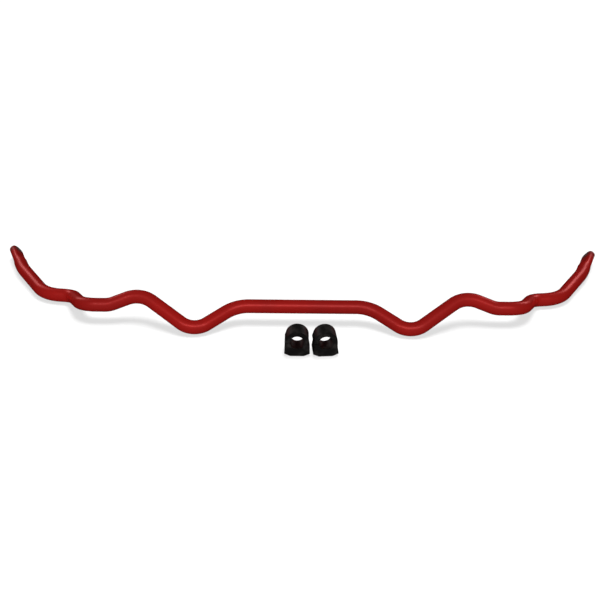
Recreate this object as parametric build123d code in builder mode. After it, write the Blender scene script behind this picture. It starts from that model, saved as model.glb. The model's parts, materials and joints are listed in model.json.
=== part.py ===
from build123d import *
from math import cos, radians, sin, tan
import os

# A solid spring-steel anti-roll (sway) bar resting on its two dips and its two end paddles,
# with its two split D-section pivot bushings standing loose in front of it.
# Millimetres, +Z up, floor at Z = 0, +X along the bar, +Y the way the arms run.

# ---- bar ------------------------------------------------------------------------------
bar_diameter = 27.0
bar_radius = bar_diameter / 2
axis_lift = 20.5              # torsion axis above the centreline of a dip on the floor
axis_height = bar_radius + axis_lift

straight_half = 129.0         # middle straight, from the mid-plane to its bend corner
dip_across = 207.0            # corner of each dip, out from the mid-plane
dip_forward = 57.0            # how far the dip corner reaches away from the arms
dip_bend = 40.0               # centreline bend radii
dip_sink = 5.0                # the corner lies this far under the rounded dip's centreline
crest_across = 314.0
crest_back = 10.0
crest_rise = 21.0
crest_bend = 55.0
middle_bend = 72.0
seat_inner = 375.0            # short straight outside the crest, corner to corner
seat_outer = 428.0
seat_inner_bend = 48.0
seat_outer_bend = 44.0

joggle_across = 464.0         # the arm runs back, steps out, then runs back again
joggle_back = 70.4
joggle_bend = 31.0
elbow_across = 522.5
elbow_back = 77.8
elbow_bend = 68.0
knee_across = 598.0           # long, shallow bend part way up the arm
knee_back = 188.0
knee_bend = 220.0
knee_drop = 0.6               # knee's centreline below the paddle's middle height
arm_clear = 1.0               # underside of the joggle above the floor
arm_across = 609.0            # where the round section stops and the flattening starts
arm_back = 212.0
arm_drop = 0.2

# ---- flattened ends -----------------------------------------------------------------------
paddle_width = 31.0
paddle_thickness = 16.0
paddle_tilt = 38.0            # paddle face leans back from upright by this much
neck_length = 26.0            # round to flat
paddle_reach = 34.0           # from the end of the neck to the middle of the eye
eye_diameter = 12.5
eye_chamfer = 0.8
paddle_edge = 6.5             # rounding along the paddle's long edges
paddle_height = (paddle_width / 2) * cos(radians(paddle_tilt)) \
    + (paddle_thickness / 2) * sin(radians(paddle_tilt))

# ---- bushings -----------------------------------------------------------------------------
bushing_squeeze = 0.2         # bore is this much under the bar, so that it grips
bore_diameter = bar_diameter - bushing_squeeze
bushing_length = 31.5
bushing_wall = 8.0            # rubber beside the bore
bore_height = 28.0            # bore centre above the foot
dome_wall = 9.5               # extra rubber over the bore
body_half = bore_diameter / 2 + bushing_wall
lip_out = 2.1                 # foot lip beyond the body
pad_half = 12.5               # half width of the pad it stands on
pad_rise = 5.0
lip_edge = 1.6
lip_slope = 13.0              # the sides spread from this far above the lip
slit_gap = 1.2
slit_drop = 1.8               # slit below the bore centre
flap_flare = 1.8              # how far the cut edge springs out
flap_depth = 6.0
mouth_chamfer = 1.0
end_round = 1.4
bushing_gap = 4.5             # between the two loose bushings' lips
bushing_middle = 16.0         # mid-point between them, to the right of the bar's middle
bushing_front = -109.5        # middle of the bushings ahead of the torsion axis
right_turn = 5.0              # the right-hand one stands a little askew


def unit(vector):
    return vector.normalized()


# ---- the bar's centreline, right half, from the mid-plane outwards --------------------------
dip_height = bar_radius - dip_sink
arm_height = bar_radius + arm_clear
corners = [
    Vector(0, 0, axis_height),
    Vector(straight_half, 0, axis_height),
    Vector(dip_across, -dip_forward, dip_height),
    Vector(crest_across, crest_back, axis_height + crest_rise),
    Vector(seat_inner, 0, axis_height),
    Vector(seat_outer, 0, axis_height),
    Vector(joggle_across, joggle_back, arm_height),
    Vector(elbow_across, elbow_back, arm_height),
    Vector(knee_across, knee_back, paddle_height - knee_drop),
    Vector(arm_across, arm_back, paddle_height - arm_drop),
]
bends = [middle_bend, dip_bend, crest_bend, seat_inner_bend, seat_outer_bend,
         joggle_bend, elbow_bend, knee_bend]

arm_way = unit(corners[-1] - corners[-2])
across = unit(arm_way.cross(Vector(0, 0, 1)))
upward = unit(across.cross(arm_way))
tilt = radians(paddle_tilt)
face_way = upward * sin(tilt) - across * cos(tilt)      # out of the face turned to the middle
flat_way = upward * cos(tilt) + across * sin(tilt)      # across the paddle's width


def section(distance):
    return Plane(origin=corners[-1] + arm_way * distance, x_dir=flat_way, z_dir=arm_way)


eye_plane = Plane(
    origin=corners[-1] + arm_way * (neck_length + paddle_reach), x_dir=arm_way, z_dir=face_way)
neck_end = corners[-1] + arm_way * neck_length

with BuildPart() as paddle:
    with BuildSketch(eye_plane):
        Circle(paddle_width / 2)
        with Locations((-paddle_reach / 2, 0)):
            Rectangle(paddle_reach, paddle_width)
    extrude(amount=paddle_thickness / 2, both=True)
    outline = paddle.faces().filter_by(eye_plane).edges()
    outer = outline.filter_by(lambda edge: (edge.center() - neck_end).dot(arm_way) > 0.1)
    fillet(outer, paddle_edge)
    with BuildSketch(eye_plane):
        Circle(eye_diameter / 2)
    extrude(amount=paddle_thickness, both=True, mode=Mode.SUBTRACT)
    eye_rims = paddle.edges().filter_by(GeomType.CIRCLE).filter_by(
        lambda edge: abs(edge.radius - eye_diameter / 2) < 0.01)
    chamfer(eye_rims, eye_chamfer)

with BuildPart() as sway_bar:
    with BuildLine() as centreline:
        here = corners[0]
        for i, bend in enumerate(bends, start=1):
            back = unit(corners[i - 1] - corners[i])
            onward = unit(corners[i + 1] - corners[i])
            half_angle = radians(back.get_angle(onward)) / 2
            start = corners[i] + back * (bend / tan(half_angle))
            finish = corners[i] + onward * (bend / tan(half_angle))
            inward = unit(back + onward)
            apex = corners[i] + inward * (bend / sin(half_angle) - bend)
            Line(here, start)
            ThreePointArc(start, apex, finish)
            here = finish
        Line(here, corners[-1])
    with BuildSketch(Plane(origin=corners[0], x_dir=(0, 1, 0), z_dir=(1, 0, 0))):
        Circle(bar_radius)
    sweep(path=centreline.line)
    # round section pressed flat into the paddle
    with BuildSketch(section(0)):
        Circle(bar_radius)
    with BuildSketch(section(neck_length)):
        RectangleRounded(paddle_width, paddle_thickness, paddle_edge)
    loft()
    add(paddle.part)
    mirror(about=Plane.YZ)


# ---- split D-section pivot bushing, bore along Y, standing on its pad -------------------------
dome_height = bore_height + bore_diameter / 2 + dome_wall - body_half
slit_height = bore_height - slit_drop
lip_top = pad_rise + lip_edge + lip_slope
lip_half = body_half + lip_out
bushing_pitch = 2 * lip_half + bushing_gap

with BuildPart() as bushing:
    with BuildSketch(Plane.XZ):
        with BuildLine():
            Polyline(
                (-body_half, dome_height), (-body_half, lip_top), (-lip_half, pad_rise + lip_edge),
                (-lip_half, pad_rise), (-pad_half, 0), (pad_half, 0), (lip_half, pad_rise),
                (lip_half, pad_rise + lip_edge), (body_half, lip_top), (body_half, dome_height))
            ThreePointArc(
                (body_half, dome_height), (0, dome_height + body_half), (-body_half, dome_height))
        make_face()
    extrude(amount=bushing_length / 2, both=True)
    # the flap above the slit stands proud where it has sprung open
    with BuildSketch(Plane.XZ):
        with BuildLine():
            Polyline(
                (-body_half + 1, slit_height), (-body_half - flap_flare, slit_height),
                (-body_half, slit_height + flap_depth), (-body_half + 1, slit_height + flap_depth),
                close=True)
        make_face()
    extrude(amount=bushing_length / 2, both=True)
    end_faces = bushing.faces().filter_by(Axis.Y)
    fillet(end_faces.edges(), end_round)
    with BuildSketch(Plane.XZ.offset(-bushing_length)):
        with Locations((0, bore_height)):
            Circle(bore_diameter / 2)
    extrude(amount=2 * bushing_length, mode=Mode.SUBTRACT)
    mouths = bushing.edges().filter_by(GeomType.CIRCLE).filter_by(
        lambda edge: abs(edge.radius - bore_diameter / 2) < 0.01)
    chamfer(mouths, mouth_chamfer)
    with BuildSketch(Plane.XZ.offset(-bushing_length)):
        with Locations((-body_half, slit_height)):
            Rectangle(2 * body_half, slit_gap)
    extrude(amount=2 * bushing_length, mode=Mode.SUBTRACT)

bar_box = sway_bar.part.bounding_box()
turned = Location((0, 0, 0), (0, 0, right_turn)) * bushing.part
nearest = bushing_front + turned.bounding_box().min.Y
to_middle = -(bar_box.max.Y + nearest) / 2      # the origin is under the middle of the whole set

left_spot = Location((bushing_middle - bushing_pitch / 2, bushing_front + to_middle, 0))
right_spot = Location((bushing_middle + bushing_pitch / 2, bushing_front + to_middle, 0))

bar = Location((0, to_middle, 0)) * sway_bar.part
bar.label = "sway_bar"
bushing_left = left_spot * bushing.part
bushing_left.label = "bushing_left"
bushing_right = right_spot * turned
bushing_right.label = "bushing_right"

os.makedirs("parts", exist_ok=True)
export_step(bar, "parts/sway_bar.step")
export_step(bushing_left, "parts/bushing_left.step")
export_step(bushing_right, "parts/bushing_right.step")
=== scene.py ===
import json
import logging
import math
from dataclasses import dataclass
from enum import Enum

import bmesh
import bpy
from mathutils import Matrix, Vector


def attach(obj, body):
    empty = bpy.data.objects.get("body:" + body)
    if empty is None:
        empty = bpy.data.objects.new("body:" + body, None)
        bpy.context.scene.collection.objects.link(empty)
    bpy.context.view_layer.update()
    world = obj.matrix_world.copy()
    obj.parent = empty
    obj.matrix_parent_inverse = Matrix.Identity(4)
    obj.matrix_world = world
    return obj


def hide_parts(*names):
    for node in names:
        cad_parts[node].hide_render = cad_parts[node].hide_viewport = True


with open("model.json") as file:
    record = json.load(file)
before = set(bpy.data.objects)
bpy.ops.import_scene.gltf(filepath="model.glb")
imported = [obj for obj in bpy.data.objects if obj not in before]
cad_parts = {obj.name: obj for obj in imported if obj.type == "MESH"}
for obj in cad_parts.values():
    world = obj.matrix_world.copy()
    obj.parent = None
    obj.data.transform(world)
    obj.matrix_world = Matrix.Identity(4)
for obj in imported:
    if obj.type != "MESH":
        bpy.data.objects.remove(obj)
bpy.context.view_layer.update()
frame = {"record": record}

LOG = logging.getLogger("sway_bar_set")
MM = 0.001
WELD = 0.01 * MM            # points closer than this are one point
SLIVER = 0.0005 * MM        # edges and faces thinner than this are dropped
ALONG = 0.99                # a unit vector's share of an axis that counts as along it
SIDES = (1.0, -1.0)         # right-hand and left-hand
BAR_CREASE = 40.0           # degrees; edges that turn more stay crisp
DRILL_CREASE = 30.0
BUSHING_CREASE = 35.0
WHITE = (1.0, 1.0, 1.0, 1.0)
Y_WAY = Vector((0.0, 1.0, 0.0))
Z_WAY = Vector((0.0, 0.0, 1.0))


class Side(Enum):
    """Which of the two loose bushings is meant."""

    LEFT = "left"
    RIGHT = "right"


class Slot(Enum):
    """The record's material slots."""

    COAT = "red_powder_coat"
    RUBBER = "black_rubber"


# ---- shader expressions -------------------------------------------------------------------


class Value:
    """A number socket that takes part in ordinary arithmetic."""

    def __init__(self, tree: bpy.types.NodeTree, socket: bpy.types.NodeSocket) -> None:
        """Keeps the socket and the tree that its Math nodes go into."""
        self.tree = tree
        self.socket = socket

    def math(self, operation: str, *others: "Value | float") -> "Value":
        """Adds one Math node.

        Args:
            operation: the Math node's operation.
            others: the second and third operands, sockets or plain numbers.

        Returns:
            The node's result.
        """
        node = self.tree.nodes.new("ShaderNodeMath")
        node.operation = operation
        self.tree.links.new(self.socket, node.inputs[0])
        for index, other in enumerate(others, start=1):
            if isinstance(other, Value):
                self.tree.links.new(other.socket, node.inputs[index])
            else:
                node.inputs[index].default_value = other
        return Value(self.tree, node.outputs[0])

    def __add__(self, other: "Value | float") -> "Value":
        """Sum."""
        return self.math("ADD", other)

    def __radd__(self, other: float) -> "Value":
        """Sum, number first."""
        return self.math("ADD", other)

    def __sub__(self, other: "Value | float") -> "Value":
        """Difference."""
        return self.math("SUBTRACT", other)

    def __rsub__(self, other: float) -> "Value":
        """Difference, number first."""
        return (self * -1.0) + other

    def __mul__(self, other: "Value | float") -> "Value":
        """Product."""
        return self.math("MULTIPLY", other)

    def __rmul__(self, other: float) -> "Value":
        """Product, number first."""
        return self.math("MULTIPLY", other)

    def __truediv__(self, other: "Value | float") -> "Value":
        """Quotient."""
        return self.math("DIVIDE", other)

    def __pow__(self, other: float) -> "Value":
        """Power."""
        return self.math("POWER", other)

    def __abs__(self) -> "Value":
        """Size without sign."""
        return self.math("ABSOLUTE")

    def most(self, other: "Value | float") -> "Value":
        """The larger of the two."""
        return self.math("MAXIMUM", other)

    def least(self, other: "Value | float") -> "Value":
        """The smaller of the two."""
        return self.math("MINIMUM", other)

    def clamped(self) -> "Value":
        """Kept between 0 and 1."""
        return self.most(0.0).least(1.0)

    def rising(self, low: float, high: float) -> "Value":
        """0 up to low, 1 from high on, and a smooth ramp between them.

        Args:
            low: where the ramp leaves 0.
            high: where it reaches 1; below low, the ramp falls instead.

        Returns:
            The ramp.
        """
        share = ((self - low) / (high - low)).clamped()
        return share * share * (3.0 - 2.0 * share)


class Shader:
    """Builds one procedural material around a Principled shader."""

    def __init__(self, name: str) -> None:
        """Starts an empty material with its output and its Object coordinates."""
        self.material = bpy.data.materials.new(name)
        self.material.use_nodes = True
        self.tree = self.material.node_tree
        self.tree.nodes.clear()
        self.surface = self.node("ShaderNodeBsdfPrincipled")
        self.node("ShaderNodeOutputMaterial", inputs={"Surface": self.surface.outputs["BSDF"]})
        self.place = self.node("ShaderNodeTexCoord").outputs["Object"]

    def node(
        self,
        kind: str,
        settings: dict[str, object] | None = None,
        inputs: dict[str | int, object] | None = None,
    ) -> bpy.types.Node:
        """Adds any node.

        Args:
            kind: the node's type.
            settings: its own properties.
            inputs: values or links for its sockets, by name or index.

        Returns:
            The node.
        """
        made = self.tree.nodes.new(kind)
        for key, value in (settings or {}).items():
            setattr(made, key, value)
        for key, value in (inputs or {}).items():
            if isinstance(value, Value):
                value = value.socket
            if isinstance(value, bpy.types.NodeSocket):
                self.tree.links.new(value, made.inputs[key])
            else:
                made.inputs[key].default_value = value
        return made

    def noise(self, scale: float, detail: float = 2.0, stretch: Vector | None = None,
              roughness: float = 0.5) -> Value:
        """A noise over the piece.

        Args:
            scale: bumps per metre.
            detail: octaves of finer noise.
            stretch: scaling of the coordinates, to draw the noise out one way.
            roughness: how strong the finer octaves are.

        Returns:
            The noise, about 0.5 on average.
        """
        place = self.place
        if stretch is not None:
            place = self.node("ShaderNodeVectorMath", {"operation": "MULTIPLY"},
                              {0: place, 1: stretch}).outputs[0]
        made = self.node("ShaderNodeTexNoise", None,
                         {"Vector": place, "Scale": scale, "Detail": detail,
                          "Roughness": roughness})
        return Value(self.tree, made.outputs[0])

    def mixed(self, share: Value, first: object, second: object) -> bpy.types.NodeSocket:
        """A blend of two colours.

        Args:
            share: 0 for the first colour, 1 for the second.
            first: a colour or a colour socket.
            second: a colour or a colour socket.

        Returns:
            The blended colour's socket.
        """
        made = self.node("ShaderNodeMix", {"data_type": "RGBA"}, {0: share, 6: first, 7: second})
        return made.outputs[2]

    def bump(self, height: Value, depth: float,
             under: bpy.types.NodeSocket | None = None) -> bpy.types.NodeSocket:
        """A Bump node.

        Args:
            height: 0 for low, 1 for high.
            depth: how far apart those are, in metres.
            under: another bump's normal below this one.

        Returns:
            The bumped normal's socket.
        """
        inputs = {"Height": height, "Distance": depth, "Strength": 1.0}
        if under is not None:
            inputs["Normal"] = under
        return self.node("ShaderNodeBump", None, inputs).outputs[0]

    def finish(self, constant: dict[str, object], varying: dict[str, object]) -> bpy.types.Material:
        """Sets the shader's sockets.

        Args:
            constant: plain values by socket name.
            varying: links by socket name.

        Returns:
            The finished material.
        """
        for key, value in constant.items():
            self.surface.inputs[key].default_value = value
        for key, value in varying.items():
            if isinstance(value, Value):
                value = value.socket
            self.tree.links.new(value, self.surface.inputs[key])
        return self.material


# ---- finishes -----------------------------------------------------------------------------

Colour = tuple[float, float, float, float]


@dataclass(frozen=True)
class PowderCoat:
    """Semi-gloss red powder coat on steel, worn through where the link washers bear."""

    red: Colour = (0.54, 0.0080, 0.0050, 1.0)
    deep_red: Colour = (0.46, 0.0065, 0.0040, 1.0)
    fleck: Colour = (0.46, 0.020, 0.016, 1.0)
    # darker brown that the coat turns towards the eyes
    dark_brown: Colour = (0.16, 0.022, 0.018, 1.0)
    steel: Colour = (0.30, 0.27, 0.25, 1.0)
    patches_per_metre: float = 11.0
    speckle_per_metre: float = 900.0
    chips_per_metre: float = 310.0
    waves_per_metre: float = 70.0
    peel_per_metre: float = 520.0
    wave_depth: float = 0.10 * MM
    peel_depth: float = 0.05 * MM
    coat_depth: float = 0.06 * MM
    eye_zone_outer: float = 27.0 * MM     # the darker brown and the chips start this far from the eye's axis
    eye_zone_inner: float = 15.0 * MM     # and are full from here in
    washer_outer: float = 2.6 * MM    # bare ring, out from the hole's edge
    washer_inner: float = 0.9 * MM
    gloss_roughness: float = 0.38
    metal_share: float = 0.40
    coat_roughness: float = 0.12
    coat_weight: float = 0.08
    refraction: float = 1.5

    def material(self, eye: Vector, eye_way: Vector, eye_radius: float) -> bpy.types.Material:
        """Builds the coat.

        Args:
            eye: middle of the right-hand eye.
            eye_way: the eye's axis, a unit vector.
            eye_radius: radius of its hole.

        Returns:
            The material.
        """
        shader = Shader(Slot.COAT.value)
        ring = self._from_eye(shader, eye, eye_way)
        patches = shader.noise(self.patches_per_metre, 3.0)
        speckle = shader.noise(self.speckle_per_metre, 2.0, roughness=0.65)
        chips = shader.noise(self.chips_per_metre, 3.0, roughness=0.6)

        near_eye = ring.rising(self.eye_zone_outer, self.eye_zone_inner)
        washer = ring.rising(eye_radius + self.washer_outer, eye_radius + self.washer_inner)
        bare = (washer * 0.75 + near_eye * (chips.rising(0.60, 0.66)) * 0.5).clamped()

        red = shader.mixed(patches.rising(0.35, 0.68), self.red, self.deep_red)
        red = shader.mixed(speckle.rising(0.62, 0.80) * 0.35, red, self.fleck)
        # the coat turns darker brown towards the eyes
        red = shader.mixed(near_eye * 0.55, red, self.dark_brown)
        colour = shader.mixed(bare, red, self.steel)

        roughness = (self.gloss_roughness + (patches - 0.5) * 0.12 + near_eye * 0.12
                     + bare * 0.05 + (speckle - 0.5) * 0.06).clamped()
        peel = shader.noise(self.peel_per_metre, 1.0)
        waves = shader.noise(self.waves_per_metre, 1.0)
        normal = shader.bump(waves, self.wave_depth)
        normal = shader.bump(peel, self.peel_depth, under=normal)
        normal = shader.bump(1.0 - bare, self.coat_depth, under=normal)
        return shader.finish(
            {"IOR": self.refraction, "Coat Roughness": self.coat_roughness,
             "Coat IOR": self.refraction, "Coat Weight": self.coat_weight},
            {"Base Color": colour, "Roughness": roughness,
             "Metallic": (bare * 0.6 + self.metal_share).clamped(), "Normal": normal})

    @staticmethod
    def _from_eye(shader: Shader, eye: Vector, eye_way: Vector) -> Value:
        """Distance from the axis of the nearer eye, with both sides folded together."""
        parts = shader.node("ShaderNodeSeparateXYZ", None, {0: shader.place})
        folded = shader.node("ShaderNodeCombineXYZ", None, {
            0: abs(Value(shader.tree, parts.outputs[0])), 1: parts.outputs[1],
            2: parts.outputs[2]}).outputs[0]
        offset = shader.node("ShaderNodeVectorMath", {"operation": "SUBTRACT"},
                             {0: folded, 1: eye}).outputs[0]
        along = shader.node("ShaderNodeVectorMath", {"operation": "DOT_PRODUCT"},
                            {0: offset, 1: eye_way}).outputs["Value"]
        reach = shader.node("ShaderNodeVectorMath", {"operation": "LENGTH"},
                            {0: offset}).outputs["Value"]
        along = Value(shader.tree, along)
        reach = Value(shader.tree, reach)
        return (reach * reach - along * along).most(0.0) ** 0.5


@dataclass(frozen=True)
class MouldedRubber:
    """Black moulded bushing rubber, satin, with a faint grey bloom."""

    black: Colour = (0.0055, 0.0051, 0.0050, 1.0)
    bloom: Colour = (0.036, 0.031, 0.028, 1.0)
    patches_per_metre: float = 60.0
    grain_per_metre: float = 900.0
    streaks_per_metre: float = 380.0
    streak_draw: tuple[float, float, float] = (1.0, 0.08, 1.0)    # drawn out along the bore
    patch_depth: float = 0.8 * MM
    streak_depth: float = 0.06 * MM
    grain_depth: float = 0.07 * MM
    satin_roughness: float = 0.46
    refraction: float = 1.5

    def material(self) -> bpy.types.Material:
        """Builds the rubber."""
        shader = Shader(Slot.RUBBER.value)
        patches = shader.noise(self.patches_per_metre, 4.0, roughness=0.6)
        grain = shader.noise(self.grain_per_metre, 3.0, roughness=0.6)
        streaks = shader.noise(self.streaks_per_metre, 2.0, stretch=Vector(self.streak_draw))
        colour = shader.mixed(patches.rising(0.45, 0.75) * 0.8, self.black, self.bloom)
        roughness = self.satin_roughness + (patches - 0.5) * 0.25 + (grain - 0.5) * 0.15
        normal = shader.bump(patches, self.patch_depth)
        normal = shader.bump(streaks, self.streak_depth, under=normal)
        normal = shader.bump(grain, self.grain_depth, under=normal)
        return shader.finish({"IOR": self.refraction}, {
            "Base Color": colour, "Roughness": roughness, "Normal": normal})


@dataclass(frozen=True)
class PaleFloor:
    """Plain white sweep under the set."""

    paint: Colour = (0.05, 0.05, 0.05, 1.0)
    glow: float = 0.70

    def material(self) -> bpy.types.Material:
        """Builds the floor's paint."""
        shader = Shader("pale_floor")
        return shader.finish(
            {"Base Color": self.paint, "Roughness": 1.0, "Specular IOR Level": 0.0,
             "Emission Color": WHITE, "Emission Strength": self.glow}, {})


# ---- making pieces ------------------------------------------------------------------------


class Piece:
    """A visible piece: its bmesh, its object and what it says to the frame."""

    def __init__(self, name: str) -> None:
        """Starts an empty mesh for a piece of that name."""
        self.name = name
        self.bm = bmesh.new()
        self.object: bpy.types.Object | None = None

    def close(self, sharp_degrees: float) -> bpy.types.Object:
        """Turns the bmesh into an object at the origin with outward faces.

        Args:
            sharp_degrees: edges that turn more than this stay crisp.

        Returns:
            The object.
        """
        bmesh.ops.remove_doubles(self.bm, verts=self.bm.verts, dist=WELD)
        bmesh.ops.dissolve_degenerate(self.bm, dist=SLIVER, edges=self.bm.edges)
        bmesh.ops.recalc_face_normals(self.bm, faces=self.bm.faces)
        mesh = bpy.data.meshes.new(self.name)
        self.bm.to_mesh(mesh)
        self.bm.free()
        mesh.shade_smooth()
        mesh.set_sharp_from_angle(angle=math.radians(sharp_degrees))
        self.object = bpy.data.objects.new(self.name, mesh)
        bpy.context.scene.collection.objects.link(self.object)
        return self.object

    def cut(self, tool: bpy.types.Object, sharp_degrees: float) -> None:
        """Cuts another closed piece out of this one and throws the tool away.

        Args:
            tool: the object to take away.
            sharp_degrees: edges that turn more than this stay crisp.
        """
        modifier = self.object.modifiers.new("cut", "BOOLEAN")
        modifier.operation = "DIFFERENCE"
        modifier.solver = "EXACT"
        modifier.object = tool
        bpy.context.view_layer.update()
        graph = bpy.context.evaluated_depsgraph_get()
        cut_mesh = bpy.data.meshes.new_from_object(self.object.evaluated_get(graph))
        self.object.modifiers.clear()
        self.object.data = cut_mesh
        cut_mesh.name = self.name
        cut_mesh.shade_smooth()
        cut_mesh.set_sharp_from_angle(angle=math.radians(sharp_degrees))
        bpy.data.objects.remove(tool)

    def dress(self, material: bpy.types.Material) -> None:
        """Gives the whole piece one material."""
        self.object.data.materials.clear()
        self.object.data.materials.append(material)

    def enrol(self, body: str, node: str, slot: Slot) -> None:
        """Puts the piece on the CAD body that it rides on and hides the CAD node that it stands
        for.

        Args:
            body: CAD body that it moves with.
            node: CAD node that it stands for.
            slot: material slot; not used.
        """
        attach(self.object, body)
        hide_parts(node)
        LOG.info("%s: %d faces, rides on %s", self.name, len(self.object.data.polygons), body)


def mount(name: str) -> tuple[Vector, Vector]:
    """Reads a mount from the record.

    Args:
        name: the mount's name.

    Returns:
        Its place in metres and its axis.
    """
    for entry in frame["record"]["mounts"]:
        if entry["name"] == name:
            return Vector(entry["pos_m"]), Vector(entry["axis"]).normalized()
    raise KeyError(name)


def rounded_reach(angle: float, half_wide: float, half_thick: float, corner: float) -> float:
    """How far a rounded rectangle's edge is from its middle.

    Args:
        angle: direction, from the wide way.
        half_wide: half its width.
        half_thick: half its thickness.
        corner: its corner radius.

    Returns:
        The distance along that direction.
    """
    wide_way, thick_way = abs(math.cos(angle)), abs(math.sin(angle))
    near, far = 0.0, half_wide + half_thick
    for _ in range(40):
        middle = (near + far) / 2
        out_wide = middle * wide_way - (half_wide - corner)
        out_thick = middle * thick_way - (half_thick - corner)
        outside = math.hypot(max(out_wide, 0.0), max(out_thick, 0.0))
        if outside + min(max(out_wide, out_thick), 0.0) < corner:
            near = middle
        else:
            far = middle
    return (near + far) / 2


@dataclass
class Bend:
    """One bend of the bar: the corner that it rounds and its centreline radius."""

    across: float
    back: float
    height: float
    radius: float

    def corner(self) -> Vector:
        """The corner, from under the middle of the torsion axis, in metres."""
        return Vector((self.across, self.back, self.height)) * MM


@dataclass
class SwayBar:
    """The bar: a round rod bent at sixteen places, its two ends pressed flat and drilled.

    Sizes are in millimetres. Corners are those of the right half, from the end inwards.
    """

    radius: float = 13.5
    axis_height: float = 34.0
    paddle_width: float = 31.0
    paddle_thickness: float = 16.0
    paddle_edge: float = 6.5
    neck_length: float = 26.0
    paddle_reach: float = 34.0
    eye_chamfer: float = 0.8
    drill_over: float = 4.0           # the drill stands this far past either face
    drill_steps: int = 64
    ring_sides: int = 96
    neck_rings: int = 18
    tip_steps: int = 36
    bend_step: float = 2.5
    bends: tuple[Bend, ...] = (
        Bend(598.0, 188.0, 16.539, 220.0),
        Bend(522.5, 77.8, 14.5, 68.0),
        Bend(464.0, 70.4, 14.5, 31.0),
        Bend(428.0, 0.0, 34.0, 44.0),
        Bend(375.0, 0.0, 34.0, 48.0),
        Bend(314.0, 10.0, 55.0, 55.0),
        Bend(207.0, -57.0, 8.5, 40.0),
        Bend(129.0, 0.0, 34.0, 72.0),
    )

    def build(self) -> Piece:
        """Bends the right half from its tip to the middle, mirrors it and drills the eyes."""
        piece = Piece("bar")
        seat, _ = mount("seat_right")
        eye, self.face_way = mount("eye_right")
        self.shift = Vector((0.0, seat.y, 0.0))
        turns = [bend.corner() + self.shift for bend in self.bends]
        self.arm_way = (eye - turns[0]).normalized()
        self.flat_way = self.arm_way.cross(self.face_way).normalized()
        ring = self._paddle(piece.bm, eye)
        ring = self._neck(piece.bm, ring, eye)
        self._rod(piece.bm, ring, turns)
        bmesh.ops.remove_doubles(piece.bm, verts=piece.bm.verts, dist=WELD)
        halves = piece.bm.verts[:] + piece.bm.edges[:] + piece.bm.faces[:]
        bmesh.ops.mirror(piece.bm, geom=halves, axis="X", merge_dist=WELD)
        piece.close(sharp_degrees=BAR_CREASE)
        for side in SIDES:
            piece.cut(self._eye_tool(eye, side), sharp_degrees=BAR_CREASE)
        self.eye = eye
        return piece

    def _paddle(self, bm: bmesh.types.BMesh, eye: Vector) -> list[bmesh.types.BMEdge]:
        """Makes the flat section through the eye and turns half of it round the eye as the tip.

        Args:
            bm: the bar's mesh.
            eye: the eye's middle.

        Returns:
            The open ring of edges through the eye.
        """
        turned = Matrix((self.flat_way, self.face_way, self.arm_way)).transposed().to_4x4()
        bmesh.ops.create_circle(bm, cap_ends=False, radius=self.radius * MM,
                                segments=self.ring_sides, matrix=Matrix.Translation(eye) @ turned)
        self._press(bm.verts, eye, 1.0)
        ring = bm.edges[:]
        outer = [edge for edge in ring
                 if all((v.co - eye).dot(self.flat_way) > -WELD for v in edge.verts)]
        bmesh.ops.spin(bm, geom=outer, cent=eye, axis=self.face_way, angle=math.pi,
                       steps=self.tip_steps, use_merge=False, use_duplicate=False)
        return ring

    def _press(self, verts: object, middle: Vector, share: float) -> None:
        """Presses a ring from round towards the paddle's rounded rectangle.

        Args:
            verts: the ring's vertices.
            middle: the ring's middle.
            share: 0 for round, 1 for flat.
        """
        for vert in verts:
            out = vert.co - middle
            wide, thick = out.dot(self.flat_way), out.dot(self.face_way)
            angle = math.atan2(thick, wide)
            flat = rounded_reach(angle, self.paddle_width * MM / 2,
                                 self.paddle_thickness * MM / 2, self.paddle_edge * MM)
            reach = self.radius * MM * (1 - share) + flat * share
            vert.co = middle + (self.flat_way * math.cos(angle)
                                + self.face_way * math.sin(angle)) * reach

    def _step(self, bm: bmesh.types.BMesh, ring: list[bmesh.types.BMEdge],
              move: Vector) -> list[bmesh.types.BMEdge]:
        """Draws the ring out by one step and returns the new ring's edges."""
        made = bmesh.ops.extrude_edge_only(bm, edges=ring)["geom"]
        verts = [item for item in made if isinstance(item, bmesh.types.BMVert)]
        bmesh.ops.translate(bm, verts=verts, vec=move)
        return [item for item in made if isinstance(item, bmesh.types.BMEdge)
                and all(v in verts for v in item.verts)]

    def _neck(self, bm: bmesh.types.BMesh, ring: list[bmesh.types.BMEdge],
              eye: Vector) -> list[bmesh.types.BMEdge]:
        """Draws the flat back to the neck, then eases it into the round rod."""
        middle = eye - self.arm_way * self.paddle_reach * MM
        ring = self._step(bm, ring, -self.arm_way * self.paddle_reach * MM)
        for number in range(1, self.neck_rings + 1):
            move = -self.arm_way * self.neck_length * MM / self.neck_rings
            middle = middle + move
            ring = self._step(bm, ring, move)
            share = 1.0 - number / self.neck_rings
            eased = share * share * (3.0 - 2.0 * share)
            verts = {vert for edge in ring for vert in edge.verts}
            self._press(verts, middle, eased)
        self.rod_end = middle
        return ring

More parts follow.
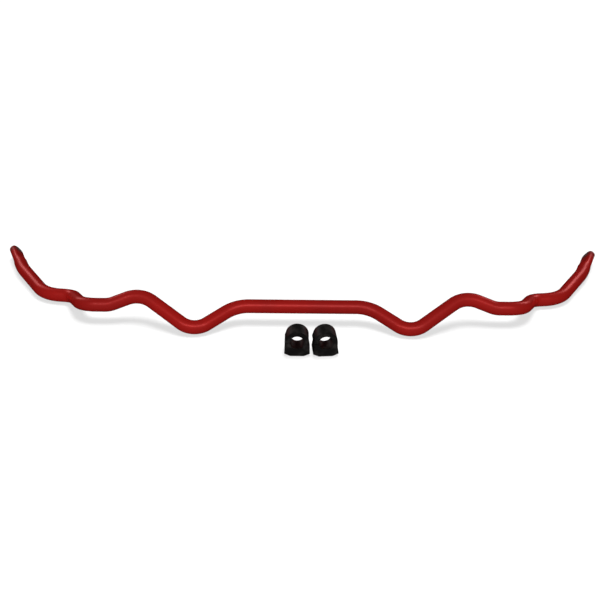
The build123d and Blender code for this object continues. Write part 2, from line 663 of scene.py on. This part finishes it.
    def _rod(self, bm: bmesh.types.BMesh, ring: list[bmesh.types.BMEdge],
             turns: list[Vector]) -> None:
        """Runs the rod straight to each bend and round it, and ends at the middle of the bar.

        Args:
            bm: the bar's mesh.
            ring: the open ring where the neck ends.
            turns: the bends' corners, from the end inwards.
        """
        here = self.rod_end
        middle = self.shift + Z_WAY * self.axis_height * MM
        points = [here, *turns, middle]
        for number, bend in enumerate(self.bends, start=1):
            back = (points[number - 1] - points[number]).normalized()
            onward = (points[number + 1] - points[number]).normalized()
            half = back.angle(onward) / 2
            radius = bend.radius * MM
            start = points[number] + back * radius / math.tan(half)
            centre = points[number] + (back + onward).normalized() * radius / math.sin(half)
            ring = self._step(bm, ring, start - here)
            turn = math.pi - 2 * half
            steps = math.ceil(turn * (bend.radius + self.radius) / self.bend_step)
            made = bmesh.ops.spin(bm, geom=ring, cent=centre, axis=onward.cross(back), angle=turn,
                                  steps=steps, use_merge=False, use_duplicate=False)
            ring = [item for item in made["geom_last"] if isinstance(item, bmesh.types.BMEdge)]
            here = points[number] + onward * radius / math.tan(half)
        self._step(bm, ring, middle - here)

    def _eye_tool(self, eye: Vector, side: float) -> bpy.types.Object:
        """Makes the drill for one eye: a cylinder that flares at both faces.

        Args:
            eye: middle of the right-hand eye.
            side: 1 for the right-hand eye, -1 for the left-hand one.

        Returns:
            The tool's object.
        """
        radius = self.eye_radius()
        half = self.paddle_thickness * MM / 2
        flare = self.eye_chamfer * MM
        over = self.drill_over * MM
        tool = Piece("drill")
        profile = [(radius, 0.0), (radius, half - flare), (radius + flare + over, half + over),
                   (0.0, half + over)]
        first_reach, first_height = profile[0]
        last = tool.bm.verts.new((first_reach, 0.0, first_height))
        for reach, height in profile[1:]:
            made = bmesh.ops.extrude_vert_indiv(tool.bm, verts=[last])
            last = made["verts"][0]
            last.co = (reach, 0.0, height)
        geometry = tool.bm.verts[:] + tool.bm.edges[:]
        bmesh.ops.mirror(tool.bm, geom=geometry, axis="Z", merge_dist=WELD)
        bmesh.ops.spin(tool.bm, geom=tool.bm.verts[:] + tool.bm.edges[:], cent=(0, 0, 0),
                       axis=Z_WAY, angle=2 * math.pi, steps=self.drill_steps, use_merge=True,
                       use_duplicate=False)
        turned = self.face_way.to_track_quat("Z", "Y").to_matrix().to_4x4()
        bmesh.ops.transform(tool.bm, matrix=Matrix.Translation(eye) @ turned,
                            verts=tool.bm.verts)
        if side < 0:
            bmesh.ops.scale(tool.bm, vec=(-1.0, 1.0, 1.0), verts=tool.bm.verts)
        return tool.close(sharp_degrees=DRILL_CREASE)

    @staticmethod
    def eye_radius() -> float:
        """The eye's radius from the record, in metres."""
        for entry in frame["record"]["mounts"]:
            if entry["name"] == "eye_right":
                return entry["dims"]["r_mm"] * MM
        raise KeyError("eye_right")


@dataclass
class Bushing:
    """A split D-section bushing standing on its foot. Sizes are in millimetres."""

    side: Side = Side.LEFT
    bore_radius: float = 13.4
    length: float = 31.2
    bore_height: float = 28.0
    body_half: float = 21.4
    dome_height: float = 29.5
    lip_half: float = 23.5
    lip_top: float = 19.6
    lip_edge_top: float = 6.6
    pad_rise: float = 5.0
    pad_half: float = 12.5
    slit_height: float = 26.2
    slit_gap: float = 1.2
    flap_flare: float = 1.8
    flap_depth: float = 6.0
    corner_round: float = 0.8
    end_round: float = 0.75
    round_segments: int = 4
    dome_steps: int = 60
    bore_steps: int = 96
    corner_degrees: float = 12.0      # a flatter turn of the section isn't a corner
    end_sides: int = 40               # an end face has more sides than this

    def build(self) -> Piece:
        """Draws the section, draws it out to its length, rounds its edges and stands it up."""
        piece = Piece(f"{self.side.value}_bushing_rubber")
        bm = piece.bm
        self._section(bm)
        bmesh.ops.translate(bm, verts=bm.verts, vec=(0.0, -self.length / 2, 0.0))
        drawn = bmesh.ops.extrude_face_region(bm, geom=bm.faces[:])
        moved = [item for item in drawn["geom"] if isinstance(item, bmesh.types.BMVert)]
        bmesh.ops.translate(bm, verts=moved, vec=(0.0, self.length, 0.0))
        bmesh.ops.recalc_face_normals(bm, faces=bm.faces)
        self._round(bm, self._long_edges(bm), self.corner_round)
        self._round(bm, self._rim_edges(bm), self.end_round)
        self._stand(bm)
        piece.close(sharp_degrees=BUSHING_CREASE)
        return piece

    def _section(self, bm: bmesh.types.BMesh) -> None:
        """Draws the C-shaped section in the X-Z plane as one face, in millimetres."""
        slit_top = self.slit_height + self.slit_gap / 2
        slit_low = self.slit_height - self.slit_gap / 2
        turn_low = math.asin((self.bore_height - slit_low) / self.bore_radius)
        turn_top = math.asin((self.bore_height - slit_top) / self.bore_radius)
        pen = SectionPen(bm, -self.body_half, slit_low)
        for x, z in ((-self.body_half, self.lip_top), (-self.lip_half, self.lip_edge_top),
                     (-self.lip_half, self.pad_rise), (-self.pad_half, 0.0),
                     (self.pad_half, 0.0), (self.lip_half, self.pad_rise),
                     (self.lip_half, self.lip_edge_top), (self.body_half, self.lip_top),
                     (self.body_half, self.dome_height)):
            pen.line(x, z)
        pen.arc(0.0, self.dome_height, math.pi, self.dome_steps)
        for x, z in ((-self.body_half, slit_top + self.flap_depth),
                     (-self.body_half - self.flap_flare, slit_top),
                     (-self.bore_radius * math.cos(turn_top), slit_top)):
            pen.line(x, z)
        sweep = 2 * math.pi - (turn_low - turn_top)
        pen.arc(0.0, self.bore_height, -sweep, self.bore_steps)
        pen.close()

    def _long_edges(self, bm: bmesh.types.BMesh) -> list[bmesh.types.BMEdge]:
        """The edges along the bushing at which its section turns a corner."""
        return [edge for edge in bm.edges
                if abs((edge.verts[0].co - edge.verts[1].co).normalized().y) > ALONG
                and len(edge.link_faces) == 2
                and abs(edge.calc_face_angle(0.0)) > math.radians(self.corner_degrees)]

    def _rim_edges(self, bm: bmesh.types.BMesh) -> list[bmesh.types.BMEdge]:
        """The edges round both end faces."""
        ends = {face for face in bm.faces
                if abs(face.normal.y) > ALONG and len(face.verts) > self.end_sides}
        return [edge for edge in bm.edges
                if sum(face in ends for face in edge.link_faces) == 1]

    def _round(self, bm: bmesh.types.BMesh, edges: list[bmesh.types.BMEdge],
               radius: float) -> None:
        """Rounds edges to a radius in millimetres."""
        bmesh.ops.bevel(bm, geom=edges, affect="EDGES", offset=radius, offset_type="OFFSET",
                        segments=self.round_segments, profile=0.5, material=-1, clamp_overlap=True)

    def _stand(self, bm: bmesh.types.BMesh) -> None:
        """Turns millimetres into metres and puts the bushing where its bore mount says."""
        place, way = mount(f"bore_{self.side.value}")
        turned = Matrix.Rotation(math.atan2(way.x, -way.y), 4, "Z")
        spot = Matrix.Translation((place.x, place.y, 0.0))
        bmesh.ops.scale(bm, vec=(MM, MM, MM), verts=bm.verts)
        bmesh.ops.transform(bm, matrix=spot @ turned, verts=bm.verts)


class SectionPen:
    """Draws a closed outline in the X-Z plane with vertex extrusions and spins."""

    JOIN = 0.0001    # millimetres; the outline's points closer than this are one

    def __init__(self, bm: bmesh.types.BMesh, x: float, z: float) -> None:
        """Puts the pen down at the outline's first point."""
        self.bm = bm
        self.tip = bm.verts.new((x, 0.0, z))

    def line(self, x: float, z: float) -> None:
        """Draws straight to a point."""
        made = bmesh.ops.extrude_vert_indiv(self.bm, verts=[self.tip])
        self.tip = made["verts"][0]
        self.tip.co = (x, 0.0, z)

    def arc(self, x: float, z: float, turn: float, steps: int) -> None:
        """Draws an arc about a centre.

        Args:
            x: the centre's place across.
            z: the centre's height.
            turn: angle, positive from +X towards +Z.
            steps: number of chords.
        """
        made = bmesh.ops.spin(self.bm, geom=[self.tip], cent=(x, 0.0, z), axis=-Y_WAY,
                              angle=turn, steps=steps, use_merge=False, use_duplicate=False)
        self.tip = [item for item in made["geom_last"] if isinstance(item, bmesh.types.BMVert)][0]

    def close(self) -> None:
        """Joins the last point to the first and fills the outline."""
        self.bm.verts.ensure_lookup_table()
        self.bm.edges.new((self.tip, self.bm.verts[0]))
        bmesh.ops.remove_doubles(self.bm, verts=self.bm.verts, dist=self.JOIN)
        bmesh.ops.contextual_create(self.bm, geom=self.bm.edges[:])


# ---- studio -------------------------------------------------------------------------------


@dataclass
class Studio:
    """Floor, backdrop, lights and camera. Lengths in metres, angles in degrees."""

    floor_half: float = 14.0
    backdrop_radius: float = 16.0
    backdrop_subdivisions: int = 4
    backdrop_glow: float = 1.05
    room_glow: float = 0.45
    front_glow: float = 0.62
    front_glow_height: float = 22.0
    top_sun: float = 23.0
    top_sun_spread: float = 32.0
    top_sun_back: float = 9.0
    top_sun_side: float = 5.0
    top_sun_distance: float = 5.0
    front_power: float = 11.0
    front_reach: float = 2.3
    front_height: float = 46.0
    front_width: float = 2.4
    front_size: float = 0.45
    rim_power: float = 3.0
    rim_size: float = 0.6
    rim_way: tuple[float, float, float] = (0.69, 0.57, 0.44)
    lens: float = 52.29
    sensor: float = 36.0
    far_clip: float = 200.0
    camera_across: float = -8.29 * MM
    camera_before: float = 1477.3 * MM
    camera_height: float = 858.9 * MM
    camera_pan: float = 0.126
    camera_tilt: float = 28.74
    camera_roll: float = 0.606

    def build(self) -> None:
        """Sets up everything that doesn't need the pieces."""
        bpy.context.scene.view_settings.view_transform = "Standard"
        self.floor = self._floor()
        self._backdrop()
        self._room()
        self._camera()

    def _floor(self) -> bpy.types.Object:
        """Lays the floor, which the pieces neither mirror nor take light from."""
        bm = bmesh.new()
        bmesh.ops.create_grid(bm, x_segments=1, y_segments=1, size=self.floor_half)
        floor = self._stand_up(bm, "floor")
        floor.data.materials.append(PaleFloor().material())
        return floor

    def _backdrop(self) -> None:
        """Closes the view beyond the floor with a plain white shell."""
        bm = bmesh.new()
        bmesh.ops.create_icosphere(bm, subdivisions=self.backdrop_subdivisions,
                                   radius=self.backdrop_radius)
        shell = self._stand_up(bm, "backdrop")
        shell.visible_shadow = False
        shader = Shader("white_backdrop")
        shell.data.materials.append(shader.finish(
            {"Base Color": (0.0, 0.0, 0.0, 1.0), "Specular IOR Level": 0.0,
             "Emission Color": WHITE, "Emission Strength": self.backdrop_glow},
            {}))

    @staticmethod
    def _stand_up(bm: bmesh.types.BMesh, name: str) -> bpy.types.Object:
        """Makes a stage object that only the camera sees."""
        mesh = bpy.data.meshes.new(name)
        bm.to_mesh(mesh)
        bm.free()
        made = bpy.data.objects.new(name, mesh)
        bpy.context.scene.collection.objects.link(made)
        made.visible_diffuse = False
        made.visible_glossy = False
        return made

    def _room(self) -> None:
        """Lights the pieces from all round, more from the front, and leaves gloss to the lamps."""
        world = bpy.data.worlds.new("studio")
        world.use_nodes = True
        nodes, links = world.node_tree.nodes, world.node_tree.links
        way = nodes.new("ShaderNodeTexCoord")
        facing = nodes.new("ShaderNodeVectorMath")
        facing.operation = "DOT_PRODUCT"
        height = math.radians(self.front_glow_height)
        facing.inputs[1].default_value = (0.0, -math.cos(height), math.sin(height))
        links.new(way.outputs["Generated"], facing.inputs[0])
        frontal = Value(world.node_tree, facing.outputs["Value"]).most(0.0)
        glow = frontal * self.front_glow + self.room_glow
        nodes["Background"].inputs["Color"].default_value = WHITE
        links.new(glow.socket, nodes["Background"].inputs["Strength"])
        world.cycles_visibility.glossy = False
        bpy.context.scene.world = world

    @staticmethod
    def _group(name: str, members: list[bpy.types.Object]) -> bpy.types.Collection:
        """Gathers the objects that a lamp shines on."""
        group = bpy.data.collections.new(name)
        for member in members:
            group.objects.link(member)
        return group

    @staticmethod
    def _lamp(name: str, kind: str, place: Vector, target: Vector,
              settings: dict[str, object], lit: bpy.types.Collection) -> None:
        """Hangs a lamp.

        Args:
            name: the lamp's name.
            kind: AREA or SUN.
            place: where it hangs.
            target: what it points at.
            settings: its own properties.
            lit: what it shines on.
        """
        data = bpy.data.lights.new(name, kind)
        for key, value in settings.items():
            setattr(data, key, value)
        lamp = bpy.data.objects.new(name, data)
        bpy.context.scene.collection.objects.link(lamp)
        lamp.matrix_world = (Matrix.Translation(place)
                             @ (target - place).to_track_quat("-Z", "Y").to_matrix().to_4x4())
        lamp.light_linking.receiver_collection = lit

    def hang_lamps(self, pieces: list[bpy.types.Object]) -> None:
        """Hangs the floor's soft sun, the softbox in front and a lamp behind either end.

        Args:
            pieces: the finished pieces.
        """
        seat, _ = mount("seat_right")
        middle = Vector((0.0, seat.y, 0.0))
        ground = self._group("lit_floor", [self.floor])
        stock = self._group("lit_pieces", pieces)
        lean = Vector((math.tan(math.radians(self.top_sun_side)),
                       math.tan(math.radians(self.top_sun_back)), 1.0))
        self._lamp("top_sun", "SUN", middle + lean * self.top_sun_distance, middle,
                   {"energy": self.top_sun, "angle": math.radians(self.top_sun_spread)}, ground)
        rise = math.radians(self.front_height)
        front = Vector((0.0, -math.cos(rise), math.sin(rise))) * self.front_reach
        self._lamp("softbox", "AREA", middle + front, middle,
                   {"shape": "RECTANGLE", "size": self.front_width, "size_y": self.front_size,
                    "energy": self.front_power}, stock)
        across, back, up = self.rim_way
        for side in SIDES:
            rim = Vector((side * across, back, up)) * self.front_reach
            self._lamp("rim", "AREA", middle + rim, middle,
                       {"size": self.rim_size, "energy": self.rim_power}, stock)

    def _camera(self) -> None:
        """Places the camera in front of the bar and above it."""
        seat, _ = mount("seat_right")
        pan, tilt = math.radians(self.camera_pan), math.radians(self.camera_tilt)
        ahead = Vector((math.sin(pan) * math.cos(tilt), math.cos(pan) * math.cos(tilt),
                        -math.sin(tilt)))
        level = ahead.cross(Z_WAY).normalized()
        above = level.cross(ahead)
        roll = math.radians(self.camera_roll)
        right = level * math.cos(roll) + above * math.sin(roll)
        up = above * math.cos(roll) - level * math.sin(roll)
        data = bpy.data.cameras.new("camera")
        data.sensor_width = self.sensor
        data.lens = self.lens
        data.clip_end = self.far_clip
        camera = bpy.data.objects.new("camera", data)
        bpy.context.scene.collection.objects.link(camera)
        place = Vector((self.camera_across, seat.y - self.camera_before, self.camera_height))
        turned = Matrix((right, up, -ahead)).transposed().to_4x4()
        camera.matrix_world = Matrix.Translation(place) @ turned
        bpy.context.scene.camera = camera


def main() -> None:
    """Builds the set: the studio, the bar, then the two bushings."""
    logging.basicConfig(level=logging.INFO, format="%(name)s: %(message)s")
    studio = Studio()
    studio.build()
    bar = SwayBar()
    rod = bar.build()
    rod.dress(PowderCoat().material(bar.eye, bar.face_way, bar.eye_radius()))
    rod.enrol("bar", "sway_bar", Slot.COAT)
    pieces = [rod.object]
    rubber = MouldedRubber().material()
    for side in Side:
        block = Bushing(side).build()
        block.dress(rubber)
        block.enrol(f"{side.value}_bushing", f"bushing_{side.value}", Slot.RUBBER)
        pieces.append(block.object)
    studio.hang_lamps(pieces)


if __name__ == "__main__":
    main()
